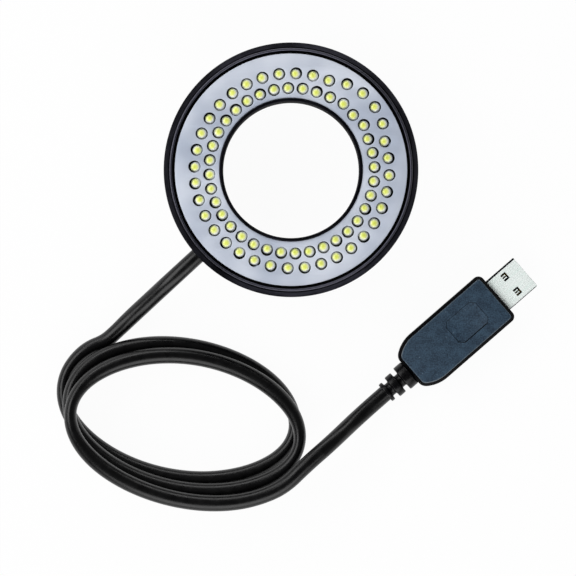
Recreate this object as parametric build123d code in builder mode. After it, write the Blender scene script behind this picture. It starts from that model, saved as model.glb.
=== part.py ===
from build123d import *
import math
import os

os.makedirs("parts", exist_ok=True)

# A ring light that clamps round a microscope objective, with its lead and USB plug.
# The origin is on the ring's axis at its rear face, and +Z is the way the light shines.
# Lengths are in millimetres, angles in degrees.

# Ring head, in widths outwards from the bore
bore_dia = 44.0
rim_wall = 1.0
bore_wall = 2.0
plate_width = 14.3
plate_gap = 0.7
lip_width = 1.05
ledge_width = 1.7
rim_width = 1.7
outer_wall = 3.4
collar_wall = 5.0
fit_gap = 0.1
seat_gap = 0.15

# Ring head, in heights upwards from the rear face
collar_height = 9.0
floor_thickness = 2.0
standoff_height = 6.3
board_thickness = 1.6
led_height = 5.3
led_recess = 0.2
plate_thickness = 1.2
bezel_depth = 2.2
lip_rise = 0.6
bore_rise = 0.4
rim_drop = 0.2
bevel_height = 1.6
lip_chamfer = 0.45

# Light: two rows of lamps, each standing in its own hole
leds_per_row = 36
inner_row_inset = 3.55
outer_row_inset = 6.0
inner_row_angle = 2.5
outer_row_angle = 7.5
led_dia = 3.2
led_crown = 1.0
led_hole_dia = 3.9
led_sides = 8
hole_sides = 10
resistor_count = 12
resistor_length = 3.2
resistor_width = 1.6
resistor_height = 0.6
resistor_inset = 3.2

# Screws that hold the head together, whose small round pieces have this many sides
round_sides = 12
screw_dia = 2.0
screw_head_dia = 3.8
screw_head_height = 1.3
screw_count = 3
boss_dia = 5.0
post_dia = 4.0
post_bite = 3.0
lug_dia = 5.2
lug_height = 4.0
lug_reach = 1.6
lug_margin = 0.6

# Thumb screws that grip the objective
thumb_count = 3
stud_dia = 3.0
stud_recess = 0.4
stud_chamfer = 0.4
stud_hold = 5.0
insert_flats = 4.4
insert_length = 4.0
thumb_travel = 4.0
thumb_stop = 0.5
knob_dia = 7.6
knob_length = 7.0
knob_hub_dia = 5.4
knob_hub_length = 1.2
knob_grooves = 12
groove_depth = 0.4
groove_width = 0.9

# Cord and where it enters the head
cord_dia = 5.4
cord_sides = 6
ring_sides = 16
cable_angle = 222.5
tie_wall = 0.9
tie_width = 1.3
tie_floor_gap = 0.4
tie_head_length = 3.0
tie_head_height = 1.6
tie_setback = 2.6
grommet_wall = 0.7
grommet_flange = 0.45
grommet_flange_length = 0.7
cable_inside = 6.4
notch_width = 9.0
notch_depth = 3.0
wire_dia = 1.2
wire_sides = 6
wire_spacing = 2.2
wire_run = 3.1
wire_bend = 1.2

# USB plug and its strain relief
plug_length = 37.9
plug_width = 18.6
plug_thickness = 9.0
plug_rear_width = 11.9
plug_taper = 8.2
plug_corner = 1.6
plug_bevel = 1.0
label_length = 12.5
label_width = 9.5
label_corner = 2.4
label_depth = 0.3
label_setback = 13.3
relief_dia = 8.8
relief_tip_dia = 7.0
relief_core_dia = 4.5
relief_collar = 3.3
relief_rib = 2.6
relief_tip = 1.4
relief_slot = 1.55
shell_width = 12.0
shell_height = 4.5
shell_wall = 0.3
shell_corner = 0.6
shell_length = 11.75
shell_insert = 5.0
window_length = 1.9
window_width = 2.5
window_spacing = 6.2
window_setback = 5.7
spring_length = 1.4
spring_width = 1.2
tongue_mouth = 8.65
tongue_recess = 0.4
contact_width = 1.0
contact_thickness = 0.2
contact_length = 7.4
contact_spacing = 2.33
contact_count = 4

# How the cord lies: its places in plan, from the ring's axis
plug_place = (38.44, -65.36)
plug_angle = 41.0
coil_centre = (-35.07, -80.39)
coil_long = 36.93
coil_short = 22.31
coil_tilt = -10.9
coil_drift = (1.94, -4.04)
coil_join_angle = 146.0
coil_first_angle = 180.0
quarter_turn = 90.0
coil_quarters = 9
coil_way_reach = 30.0
coil_end_height = 13.2
coil_end_slope = 0.1
stack_gap = 0.4
lead_exit = 10.0
lead_places = ((62.0, 9.5), (70.6, 6.9))
tail_run = 11.0
tail_drop_run = 12.3
bend_share = 0.45

# The coil's height at each quarter turn, in shares of the cord's diameter and stacking gap
coil_height_shares = (0, 0, 0, 0.68, 1.1, 0.85, 1, 1.52, 2.17, 2.2)

overrun = 1.0

# Radii and heights worked out from the sizes above
bore_radius = bore_dia / 2
plate_inner = bore_radius + rim_wall + fit_gap
plate_outer = plate_inner + plate_width
lip_inner = plate_outer + plate_gap
lip_outer = lip_inner + lip_width
ledge_inner = lip_inner - ledge_width
rim_inner = lip_outer + seat_gap
ring_radius = rim_inner + rim_width
wall_inner = ring_radius - outer_wall
collar_radius = bore_radius + collar_wall
floor_top = collar_height + floor_thickness
board_seat = floor_top + standoff_height
board_top = board_seat + board_thickness
plate_top = board_top + led_height + led_recess
plate_seat = plate_top - plate_thickness
bezel_seat = plate_seat - bezel_depth
lip_top = plate_top + lip_rise
bore_top = plate_top + bore_rise
rim_top = plate_top - rim_drop
board_inner = bore_radius + bore_wall + 3 * fit_gap
board_outer = wall_inner - 4 * fit_gap
inner_row_radius = plate_inner + inner_row_inset
outer_row_radius = plate_outer - outer_row_inset

cord_radius = cord_dia / 2
thumb_angle = cable_angle + 60
fixing_angle = cable_angle + 30
lug_angle = cable_angle
fixing_radius = ledge_inner - post_dia / 2 - 2 * fit_gap
lug_radius = collar_radius + lug_reach
screw_hole = screw_dia / 2 + fit_gap
head_hole = screw_head_dia / 2 + fit_gap
thumb_height = collar_height / 2
cable_height = floor_top + tie_floor_gap + tie_wall + cord_radius


def outward(angle, height):
    """The plane across a line that leaves the ring's axis at this angle and height."""
    turn = math.radians(angle)
    return Plane(
        origin=(0, 0, height),
        x_dir=(-math.sin(turn), math.cos(turn), 0),
        z_dir=(math.cos(turn), math.sin(turn), 0),
    )


# Housing: the channel that holds the lamps, with its bore wall, standoffs and screw holes
with BuildPart() as housing:
    with BuildSketch(Plane.XZ):
        with BuildLine():
            Polyline(
                (bore_radius, collar_height),
                (ring_radius, collar_height),
                (ring_radius, rim_top - bevel_height),
                (rim_inner, rim_top),
                (rim_inner, bezel_seat),
                (wall_inner, bezel_seat),
                (wall_inner, floor_top),
                (bore_radius + bore_wall, floor_top),
                (bore_radius + bore_wall, plate_seat),
                (bore_radius + rim_wall, plate_seat),
                (bore_radius + rim_wall, bore_top),
                (bore_radius, bore_top),
                close=True,
            )
        make_face()
    revolve(axis=Axis.Z)
    with BuildSketch(Plane.XY.offset(floor_top)):
        with PolarLocations(fixing_radius, screw_count, start_angle=fixing_angle):
            RegularPolygon(boss_dia / 2, round_sides)
    extrude(amount=standoff_height)
    with BuildSketch(Plane.XY.offset(collar_height)):
        with PolarLocations(fixing_radius, screw_count, start_angle=fixing_angle):
            RegularPolygon(screw_hole, round_sides, major_radius=False)
        with PolarLocations(lug_radius, screw_count, start_angle=lug_angle):
            RegularPolygon(screw_hole, round_sides, major_radius=False)
    extrude(amount=floor_thickness + standoff_height, mode=Mode.SUBTRACT)
    with BuildSketch(Plane.XY.offset(collar_height)):
        with PolarLocations(fixing_radius, screw_count, start_angle=fixing_angle):
            RegularPolygon(head_hole, round_sides, major_radius=False)
    extrude(amount=screw_head_height + fit_gap, mode=Mode.SUBTRACT)
    with BuildSketch(outward(cable_angle, cable_height).offset(wall_inner - overrun)):
        RegularPolygon(cord_radius + grommet_wall + fit_gap, ring_sides, major_radius=False)
    extrude(amount=outer_wall + 2 * overrun, mode=Mode.SUBTRACT)
housing.part.label = "housing"
export_step(housing.part, "parts/housing.step")

# Mount collar: the clamp ring behind the housing, with lugs for its screws
with BuildPart() as mount_collar:
    with BuildSketch():
        Circle(collar_radius)
    extrude(amount=collar_height)
    with BuildSketch(Plane.XY.offset(collar_height - lug_height)):
        with PolarLocations(lug_radius, screw_count, start_angle=lug_angle):
            RegularPolygon(lug_dia / 2, round_sides)
    extrude(amount=lug_height)
    with BuildSketch():
        Circle(bore_radius)
        with PolarLocations(lug_radius, screw_count, start_angle=lug_angle):
            RegularPolygon(screw_hole, round_sides, major_radius=False)
    extrude(amount=collar_height, mode=Mode.SUBTRACT)
    for place in range(thumb_count):
        across = outward(thumb_angle + place * 360 / thumb_count, thumb_height)
        with BuildSketch(across.offset(bore_radius - overrun)):
            RegularPolygon(stud_dia / 2 + fit_gap, round_sides, major_radius=False)
        extrude(amount=collar_wall + 2 * overrun, mode=Mode.SUBTRACT)
        with BuildSketch(across.offset(collar_radius - insert_length)):
            RegularPolygon(insert_flats / 2 + fit_gap / 2, 6, major_radius=False)
        extrude(amount=insert_length + overrun, mode=Mode.SUBTRACT)
mount_collar.part.label = "mount_collar"
export_step(mount_collar.part, "parts/mount_collar.step")

# Front bezel: the lip round the face, with the ledge that carries the face plate
with BuildPart() as front_bezel:
    with BuildSketch(Plane.XZ):
        with BuildLine():
            Polyline(
                (ledge_inner, bezel_seat),
                (lip_outer, bezel_seat),
                (lip_outer, lip_top - lip_chamfer),
                (lip_outer - lip_width / 2, lip_top),
                (lip_inner, lip_top - lip_chamfer),
                (lip_inner, plate_seat),
                (ledge_inner, plate_seat),
                close=True,
            )
        make_face()
    revolve(axis=Axis.Z)
front_bezel.part.label = "front_bezel"
export_step(front_bezel.part, "parts/front_bezel.step")

# Face plate: the pale ring with a hole for each lamp, and the posts that its screws bite
with BuildPart() as face_plate:
    with BuildSketch(Plane.XY.offset(plate_seat)):
        Circle(plate_outer)
        Circle(plate_inner, mode=Mode.SUBTRACT)
        with PolarLocations(inner_row_radius, leds_per_row, start_angle=inner_row_angle):
            RegularPolygon(led_hole_dia / 2, hole_sides, mode=Mode.SUBTRACT)
        with PolarLocations(outer_row_radius, leds_per_row, start_angle=outer_row_angle):
            RegularPolygon(led_hole_dia / 2, hole_sides, mode=Mode.SUBTRACT)
    extrude(amount=plate_thickness)
    with BuildSketch(Plane.XY.offset(board_top)):
        with PolarLocations(fixing_radius, screw_count, start_angle=fixing_angle):
            RegularPolygon(post_dia / 2, round_sides)
            RegularPolygon(screw_hole, round_sides, major_radius=False, mode=Mode.SUBTRACT)
    extrude(amount=plate_seat - board_top)
face_plate.part.label = "face_plate"
export_step(face_plate.part, "parts/face_plate.step")

# Lamp board: the circuit board under the lamps, notched where the cord comes in
with BuildPart() as led_board:
    with BuildSketch(Plane.XY.offset(board_seat)):
        Circle(board_outer)
        Circle(board_inner, mode=Mode.SUBTRACT)
        with PolarLocations(fixing_radius, screw_count, start_angle=fixing_angle):
            RegularPolygon(screw_hole, round_sides, major_radius=False, mode=Mode.SUBTRACT)
        with PolarLocations(board_outer, 1, start_angle=cable_angle):
            Rectangle(2 * notch_depth, notch_width, mode=Mode.SUBTRACT)
    extrude(amount=board_thickness)
led_board.part.label = "led_board"
export_step(led_board.part, "parts/led_board.step")

# One lamp, faceted, with a peaked crown in place of its dome
with BuildPart() as led:
    with BuildSketch(Plane.XY.offset(board_top)):
        RegularPolygon(led_dia / 2, led_sides)
    extrude(amount=led_height - led_crown)
    with BuildSketch(Plane.XY.offset(board_top + led_height - led_crown)) as crown_foot:
        RegularPolygon(led_dia / 2, led_sides)
    loft(sections=[crown_foot.sketch.face(), Vertex(0, 0, board_top + led_height)])

# Inner row of lamps
with BuildPart() as inner_leds:
    with PolarLocations(inner_row_radius, leds_per_row, start_angle=inner_row_angle):
        add(led.part)
inner_leds.part.label = "inner_leds"
export_step(inner_leds.part, "parts/inner_leds.step")

# Outer row of lamps
with BuildPart() as outer_leds:
    with PolarLocations(outer_row_radius, leds_per_row, start_angle=outer_row_angle):
        add(led.part)
outer_leds.part.label = "outer_leds"
export_step(outer_leds.part, "parts/outer_leds.step")

# Resistors: one for each group of lamps, under the board
with BuildPart() as resistors:
    with BuildSketch(Plane.XY.offset(board_seat - resistor_height)):
        with PolarLocations(board_inner + resistor_inset, resistor_count, start_angle=inner_row_angle):
            Rectangle(resistor_length, resistor_width)
    extrude(amount=resistor_height)
resistors.part.label = "resistors"
export_step(resistors.part, "parts/resistors.step")

# Fixing screws: from the rear, through housing and board, into the face plate's posts
with BuildPart() as fixing_screws:
    with BuildSketch(Plane.XY.offset(collar_height + fit_gap)):
        with PolarLocations(fixing_radius, screw_count, start_angle=fixing_angle):
            RegularPolygon(screw_head_dia / 2, round_sides)
    extrude(amount=screw_head_height)
    with BuildSketch(Plane.XY.offset(collar_height + fit_gap + screw_head_height)):
        with PolarLocations(fixing_radius, screw_count, start_angle=fixing_angle):
            RegularPolygon(screw_dia / 2, round_sides)
    extrude(amount=board_top + post_bite - collar_height - fit_gap - screw_head_height)
fixing_screws.part.label = "fixing_screws"
export_step(fixing_screws.part, "parts/fixing_screws.step")

# Collar screws: from inside the channel, down into the collar's lugs
with BuildPart() as collar_screws:
    with BuildSketch(Plane.XY.offset(floor_top)):
        with PolarLocations(lug_radius, screw_count, start_angle=lug_angle):
            RegularPolygon(screw_head_dia / 2, round_sides)
    extrude(amount=screw_head_height)
    with BuildSketch(Plane.XY.offset(floor_top)):
        with PolarLocations(lug_radius, screw_count, start_angle=lug_angle):
            RegularPolygon(screw_dia / 2, round_sides)
    extrude(amount=-(floor_thickness + lug_height - lug_margin))
collar_screws.part.label = "collar_screws"
export_step(collar_screws.part, "parts/collar_screws.step")

# Thread inserts: hexagonal brass nuts moulded into the collar
with BuildPart() as thread_inserts:
    for place in range(thumb_count):
        across = outward(thumb_angle + place * 360 / thumb_count, thumb_height)
        with BuildSketch(across.offset(collar_radius - insert_length)):
            RegularPolygon(insert_flats / 2, 6, major_radius=False)
            RegularPolygon(stud_dia / 2 + fit_gap / 2, round_sides, major_radius=False, mode=Mode.SUBTRACT)
        extrude(amount=insert_length - fit_gap - collar_radius
                + math.sqrt(collar_radius ** 2 - (insert_flats / 2) ** 2))
thread_inserts.part.label = "thread_inserts"
export_step(thread_inserts.part, "parts/thread_inserts.step")

# Thumb screws: a steel stud in a grooved knob, at rest with its tip just inside the collar
stud_start = bore_radius + stud_recess
knob_start = collar_radius + thumb_travel + thumb_stop
for place in range(thumb_count):
    across = outward(thumb_angle + place * 360 / thumb_count, thumb_height)
    with BuildPart() as thumb_stud:
        with BuildSketch(across.offset(stud_start)):
            RegularPolygon(stud_dia / 2, round_sides)
        extrude(amount=knob_start + stud_hold - stud_start)
        tip = thumb_stud.faces().sort_by(Axis(across.origin, across.z_dir))[0]
        chamfer(tip.edges(), length=stud_chamfer)
    thumb_stud.part.label = f"thumb_stud_{place + 1}"
    export_step(thumb_stud.part, f"parts/thumb_stud_{place + 1}.step")

    with BuildPart() as thumb_knob:
        with BuildSketch(across.offset(knob_start)):
            RegularPolygon(knob_hub_dia / 2, round_sides)
        extrude(amount=knob_hub_length)
        with BuildSketch(across.offset(knob_start + knob_hub_length)):
            RegularPolygon(knob_dia / 2, 2 * knob_grooves)
            with PolarLocations(knob_dia / 2, knob_grooves):
                Rectangle(2 * groove_depth, groove_width, mode=Mode.SUBTRACT)
        extrude(amount=knob_length - knob_hub_length)
        with BuildSketch(across.offset(knob_start)):
            RegularPolygon(stud_dia / 2 + fit_gap / 2, round_sides, major_radius=False)
        extrude(amount=stud_hold, mode=Mode.SUBTRACT)
    thumb_knob.part.label = f"thumb_knob_{place + 1}"
    export_step(thumb_knob.part, f"parts/thumb_knob_{place + 1}.step")

# Cable end: the cord's last piece, inside the head
cable_out = outward(cable_angle, cable_height)
cable_start = ring_radius - cable_inside
with BuildPart() as cable_end:
    with BuildSketch(cable_out.offset(cable_start)):
        RegularPolygon(cord_radius, cord_sides, rotation=180 / cord_sides)
    extrude(amount=cable_inside)
cable_end.part.label = "cable_end"
export_step(cable_end.part, "parts/cable_end.step")

# Cable grommet: a sleeve in the wall with a flange on its inner side
flange_radius = cord_radius + grommet_wall + grommet_flange
sleeve_radius = cord_radius + grommet_wall
flange_seat = math.sqrt(wall_inner ** 2 - flange_radius ** 2) - fit_gap
sleeve_end = math.sqrt(ring_radius ** 2 - sleeve_radius ** 2)
with BuildPart() as cable_grommet:
    with BuildSketch(cable_out.offset(flange_seat - grommet_flange_length)):
        RegularPolygon(flange_radius, ring_sides)
        RegularPolygon(cord_radius + fit_gap / 2, ring_sides, major_radius=False, mode=Mode.SUBTRACT)
    extrude(amount=grommet_flange_length)
    with BuildSketch(cable_out.offset(flange_seat)):
        RegularPolygon(sleeve_radius, ring_sides)
        RegularPolygon(cord_radius + fit_gap / 2, ring_sides, major_radius=False, mode=Mode.SUBTRACT)
    extrude(amount=sleeve_end - flange_seat)
cable_grommet.part.label = "cable_grommet"
export_step(cable_grommet.part, "parts/cable_grommet.step")

# Cable tie: pulled tight behind the grommet so that the cord can't be drawn out
tie_radius = cord_radius + tie_wall
tie_end = flange_seat - grommet_flange_length - fit_gap
with BuildPart() as cable_tie:
    with BuildSketch(cable_out.offset(tie_end - tie_width)):
        RegularPolygon(tie_radius, ring_sides)
        with Locations((0, tie_radius)):
            Rectangle(tie_head_length, tie_head_height)
        RegularPolygon(cord_radius + fit_gap / 2, ring_sides, major_radius=False, mode=Mode.SUBTRACT)
    extrude(amount=tie_width)
cable_tie.part.label = "cable_tie"
export_step(cable_tie.part, "parts/cable_tie.step")

# Wires: from the cord's end up to the board
for side, wire_name in ((-1, "wire_red"), (1, "wire_black")):
    with BuildPart() as wire:
        aside = side * wire_spacing / 2
        with BuildLine() as wire_path:
            FilletPolyline(
                cable_out.from_local_coords((aside, 0, cable_start)),
                cable_out.from_local_coords((aside, 0, cable_start - wire_run)),
                cable_out.from_local_coords((aside, board_seat - cable_height, cable_start - wire_run)),
                radius=wire_bend,
            )
        with BuildSketch(Plane(wire_path.line @ 0, z_dir=wire_path.line % 0)):
            RegularPolygon(wire_dia / 2, wire_sides)
        sweep(path=wire_path.line)
    wire.part.label = wire_name
    export_step(wire.part, f"parts/{wire_name}.step")

# Plug, laid flat: its own X runs from the strain relief to the tip
plug_plane = Plane(
    origin=(*plug_place, plug_thickness / 2),
    x_dir=(math.cos(math.radians(plug_angle)), math.sin(math.radians(plug_angle)), 0),
    z_dir=(0, 0, 1),
)
plug_across = Plane(origin=plug_plane.origin, x_dir=plug_plane.y_dir, z_dir=plug_plane.x_dir)
shell_start = plug_length - shell_insert
shell_end = plug_length + shell_length

# Plug body: the moulded grip, with a bevel all round and a bare label recess
with BuildPart() as plug_body:
    with BuildSketch(plug_plane.offset(-plug_thickness / 2)) as plug_outline:
        with BuildLine():
            TangentArc((plug_taper, plug_width / 2), (0, plug_rear_width / 2), tangent=(-1, 0))
            Line((0, plug_rear_width / 2), (0, -plug_rear_width / 2))
            TangentArc((plug_taper, -plug_width / 2), (0, -plug_rear_width / 2), tangent=(-1, 0))
            Polyline(
                (plug_taper, -plug_width / 2),
                (plug_length, -plug_width / 2),
                (plug_length, plug_width / 2),
                (plug_taper, plug_width / 2),
            )
        make_face()
        fillet(plug_outline.vertices().sort_by(Axis(plug_plane.origin, plug_plane.x_dir))[-2:],
               radius=plug_corner)
    extrude(amount=plug_thickness)
    top_and_bottom = plug_body.faces().filter_by(Axis.Z)
    chamfer(top_and_bottom.edges(), length=plug_bevel)
    with BuildSketch(plug_plane.offset(plug_thickness / 2)):
        with Locations((plug_length - label_setback, 0)):
            label = Rectangle(label_length, label_width)
            chamfer(label.vertices(), length=label_corner)
    extrude(amount=-label_depth, mode=Mode.SUBTRACT)
    with BuildSketch(plug_across.offset(shell_start)):
        RectangleRounded(shell_width + fit_gap, shell_height + fit_gap, shell_corner)
    extrude(amount=shell_insert + overrun, mode=Mode.SUBTRACT)
plug_body.part.label = "plug_body"
export_step(plug_body.part, "parts/plug_body.step")

# USB shell: the folded metal sleeve, with spring windows on both faces
with BuildPart() as usb_shell:
    with BuildSketch(plug_across.offset(shell_start)):
        RectangleRounded(shell_width, shell_height, shell_corner)
        RectangleRounded(shell_width - 2 * shell_wall, shell_height - 2 * shell_wall,
                         shell_corner - shell_wall, mode=Mode.SUBTRACT)
    extrude(amount=shell_end - shell_start)
    with BuildSketch(plug_plane):
        with GridLocations(0, window_spacing, 1, 2):
            with Locations((plug_length + window_setback, 0)):
                Rectangle(window_length, window_width)
            with Locations((plug_length + window_setback - (window_length - spring_length) / 2, 0)):
                Rectangle(spring_length, spring_width, mode=Mode.SUBTRACT)
    extrude(amount=shell_height, both=True, mode=Mode.SUBTRACT)
usb_shell.part.label = "usb_shell"
export_step(usb_shell.part, "parts/usb_shell.step")

# USB tongue: the insulator that closes the shell's back and carries the contacts
inner_width = shell_width - 2 * shell_wall - 2 * fit_gap
inner_height = shell_height - 2 * shell_wall - 2 * fit_gap
with BuildPart() as usb_tongue:
    with BuildSketch(plug_across.offset(shell_start)):
        Rectangle(inner_width, inner_height)
    extrude(amount=shell_end - tongue_mouth - shell_start)
    with BuildSketch(plug_across.offset(shell_end - tongue_mouth)):
        with Locations((0, -inner_height / 4)):
            Rectangle(inner_width, inner_height / 2)
    extrude(amount=tongue_mouth - tongue_recess)
usb_tongue.part.label = "usb_tongue"
export_step(usb_tongue.part, "parts/usb_tongue.step")

# USB contacts: four strips on the tongue
with BuildPart() as usb_contacts:
    with BuildSketch(plug_plane):
        with Locations((shell_end - tongue_mouth + contact_length / 2, 0)):
            with GridLocations(0, contact_spacing, 1, contact_count):
                Rectangle(contact_length, contact_width)
    extrude(amount=contact_thickness)
usb_contacts.part.label = "usb_contacts"
export_step(usb_contacts.part, "parts/usb_contacts.step")

# Strain relief: a short neck with two slots, behind the plug
rib_dia = (relief_dia + relief_tip_dia) / 2
relief_runs = (
    (relief_dia, relief_collar),
    (relief_core_dia, relief_slot),
    (rib_dia, relief_rib),
    (relief_core_dia, relief_slot),
    (relief_tip_dia, relief_tip),
)
relief_length = sum(run_length for run_dia, run_length in relief_runs)
run_start = 0
with BuildPart() as strain_relief:
    for run_dia, run_length in relief_runs:
        with BuildSketch(plug_across.offset(-run_start)):
            RegularPolygon(run_dia / 2, ring_sides, rotation=180 / ring_sides)
        extrude(amount=-run_length)
        run_start += run_length
strain_relief.part.label = "strain_relief"
export_step(strain_relief.part, "parts/strain_relief.step")


def cord_solid(path, name):
    """Sweep the cord's faceted section along a path, and check it against the path's length."""
    with BuildPart() as cord:
        start = Plane(path @ 0, x_dir=(path % 0).cross(Vector(0, 0, 1)), z_dir=path % 0)
        with BuildSketch(start) as section:
            RegularPolygon(cord_radius, cord_sides, rotation=180 / cord_sides)
        sweep(path=path)
    cord.part.label = name
    export_step(cord.part, f"parts/{name}.step")
    radii = sorted(round(edge.radius, 1) for edge in path.edges().filter_by(GeomType.CIRCLE))
    print(name, "length", round(path.length, 1), "least radii", radii[:4],
          "volume over section x length", round(cord.part.volume / (section.sketch.area * path.length), 4))


def bent_path(points):
    """Straight runs joined by arcs as large as the runs allow."""
    points = [Vector(*point) for point in points]
    radii = []
    for before, corner, after in zip(points, points[1:], points[2:]):
        half_turn = math.radians((corner - before).get_angle(after - corner) / 2)
        shorter = min((corner - before).length, (after - corner).length)
        radii.append(bend_share * shorter / math.tan(half_turn))
    with BuildLine() as bent:
        FilletPolyline(*points, radius=radii)
    return bent.wire()


def radial_place(distance, height):
    """A point on the cord's straight way out of the head."""
    turn = math.radians(cable_angle)
    return Vector(distance * math.cos(turn), distance * math.sin(turn), height)


# Cord lead: out of the head, and down to the coil
coil_start = radial_place(*lead_places[1])
lead_way = (coil_start - radial_place(*lead_places[0])).normalized()
cord_solid(
    bent_path([
        radial_place(ring_radius, cable_height),
        radial_place(ring_radius + lead_exit, cable_height),
        radial_place(*lead_places[0]),
        coil_start,
    ]),
    "cord_lead",
)


def coil_place(angle):
    """A point of the drifting oval, at the height of its quarter turn."""
    turn = math.radians(angle)
    tilt = math.radians(coil_tilt)
    middle = coil_first_angle + coil_quarters * quarter_turn / 2
    drifted = (angle - middle) / 360
    along = coil_long * math.cos(turn)
    across = coil_short * math.sin(turn)
    quarter = min(max((angle - coil_first_angle) / quarter_turn, 0), coil_quarters)
    low = min(int(quarter), coil_quarters - 1)
    share = coil_height_shares[low] + (quarter - low) * (coil_height_shares[low + 1] - coil_height_shares[low])
    return Vector(
        coil_centre[0] + coil_drift[0] * drifted + along * math.cos(tilt) - across * math.sin(tilt),
        coil_centre[1] + coil_drift[1] * drifted + along * math.sin(tilt) + across * math.cos(tilt),
        cord_radius + (cord_dia + stack_gap) * share,
    )


def coil_way(angle):
    """The direction in which the oval runs there, level where the cord lies on the surface."""
    way = coil_place(angle + coil_way_reach) - coil_place(angle - coil_way_reach)
    if math.isclose(coil_place(angle).Z, cord_radius):
        way = Vector(way.X, way.Y, 0)
    return way.normalized()


def biarc(start, start_way, end, end_way):
    """Two arcs that leave one point and reach the next along the given directions."""
    chord = end - start
    a = 2 * (1 - start_way.dot(end_way))
    b = 2 * chord.dot(start_way + end_way)
    reach = (math.sqrt(b * b + 4 * a * chord.dot(chord)) - b) / (2 * a)
    leave = start + start_way * reach
    arrive = end - end_way * reach
    joint = (leave + arrive) / 2
    TangentArc(start, joint, tangent=start_way)
    TangentArc(joint, end, tangent=(arrive - leave).normalized())


# Coil: two and a half oval turns that drift sideways and climb over each other
plug_way = plug_plane.x_dir
tail_end = plug_plane.origin - plug_way * relief_length
tail_start = tail_end - plug_way * (2 * tail_run + tail_drop_run)
tail_start = Vector(tail_start.X, tail_start.Y, coil_end_height)
tail_way = (plug_way - Vector(0, 0, coil_end_slope)).normalized()
first_bend = coil_start + lead_way * cord_dia
last_bend = tail_start - tail_way * cord_dia
quarter_angles = [coil_first_angle + quarter * quarter_turn for quarter in range(coil_quarters + 1)]
knots = [(first_bend, lead_way)]
for angle in [coil_join_angle, *quarter_angles]:
    knots.append((coil_place(angle), coil_way(angle)))
knots.append((last_bend, tail_way))
with BuildLine() as coil_path:
    Line(coil_start, first_bend)
    for (start, start_way), (end, end_way) in zip(knots, knots[1:]):
        biarc(start, start_way, end, end_way)
    Line(last_bend, tail_start)
coil_line = coil_path.wire()
cord_solid(coil_line, "cord_coil")
steps = int(coil_line.length / 2)
trail = [coil_line @ (step / steps) for step in range(steps + 1)]
gaps = [
    ((trail[i] - trail[j]).length - cord_dia, i, j)
    for i in range(len(trail))
    for j in range(i + 8, len(trail))
]
print("coil's least gap to itself", [round(value, 2) for value in min(gaps)],
      "lowest", round(min(point.Z for point in trail) - cord_radius, 3))

# Cord tail: from the coil to the strain relief
cord_solid(
    bent_path([
        tail_start,
        tail_start + tail_way * tail_run,
        tail_end - plug_way * tail_run,
        tail_end,
    ]),
    "cord_tail",
)
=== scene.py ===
# The looks of a microscope ring light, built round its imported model.
# The origin is on the ring's axis at its rear face, and +Z is the way the light shines.
import math
import random

import bmesh
import bpy
from mathutils import Matrix, Vector


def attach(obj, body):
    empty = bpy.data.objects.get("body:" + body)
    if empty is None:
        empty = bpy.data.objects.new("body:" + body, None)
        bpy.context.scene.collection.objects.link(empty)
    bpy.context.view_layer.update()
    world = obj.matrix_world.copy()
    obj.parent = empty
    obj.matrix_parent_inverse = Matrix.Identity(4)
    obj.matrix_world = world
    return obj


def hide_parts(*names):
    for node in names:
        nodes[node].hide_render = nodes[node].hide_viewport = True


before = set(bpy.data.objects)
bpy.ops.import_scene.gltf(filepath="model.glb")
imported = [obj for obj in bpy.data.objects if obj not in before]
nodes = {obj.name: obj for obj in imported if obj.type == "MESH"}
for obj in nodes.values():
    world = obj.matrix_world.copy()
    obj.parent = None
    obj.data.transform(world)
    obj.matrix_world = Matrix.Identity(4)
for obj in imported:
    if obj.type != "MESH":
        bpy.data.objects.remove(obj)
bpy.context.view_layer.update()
scene = bpy.context.scene
mm = 0.001


# Camera: a long lens straight above the object, with the top of the picture along +Y.
# From 2.4 m up the bore shows next to none of its wall, as in the photograph.
camera_data = bpy.data.cameras.new("camera")
camera_data.lens = 461.66
camera_data.sensor_width = 36.0
camera_data.clip_start = 0.1
camera_data.clip_end = 20.0


def add_object(name, data):
    """A new object in the scene with this data."""
    made = bpy.data.objects.new(name, data)
    scene.collection.objects.link(made)
    return made


camera = add_object("camera", camera_data)
camera.location = (-0.965 * mm, -38.05 * mm, 2400.0 * mm)
scene.camera = camera


# Cord: one black PVC lead of 5.4 mm, extruded round two wires. It leaves the head, lies in two and a
# half loose oval turns and runs on to the plug. Where it is bent hardest, at the ends of the turns,
# its soft jacket is squeezed a quarter narrower.
cord_dia = 5.4 * mm
cord_radius = cord_dia / 2
cable_angle = 222.5
cable_height = 15.0 * mm
ring_radius = 41.0 * mm
plug_place = Vector((38.44, -65.36, 4.5)) * mm
plug_angle = 41.0
relief_length = 10.4 * mm
lead_places = ((41.0, 15.0), (51.0, 15.0), (62.0, 8.6), (70.6, 4.6))
lead_bend = ((-56.45, -52.0, 3.3), (-60.2, -55.4, 2.7))
tail_bend = (-2.26, -102.3, 13.0)
coil_centre = Vector((-35.07, -80.39)) * mm
coil_drift = Vector((1.94, -4.04)) * mm
coil_long = 36.93 * mm
coil_short = 22.31 * mm
coil_tilt = math.radians(-10.9)
coil_join_angle, coil_first_angle, coil_middle_angle, coil_last_angle = 146.0, 180.0, 585.0, 1034.0
coil_steps = 59
stack_gap = 0.4 * mm
tail_height = 13.2 * mm
tail_drop_run = 12.3 * mm
tail_run, tail_slope = 11.0 * mm, 0.1
tail_aside = 0.5 * mm
coil_height_shares = (0, 0, 0, 0.1, 1.07, 0.8, 1.02, 0.92, 2.03, 1.78, 1.72)
coil_slips = ((-0.6, 0), (0, -0.3), (1.35, 0), (0, 0), (-0.5, 0.2), (0, 0), (1.0, 0), (0, 0.5),
              (-1.8, 0), (0, 0.35), (0, 0))
squeeze_most, squeeze_bend, squeeze_reach = 0.27, 66.0, 9


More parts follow.
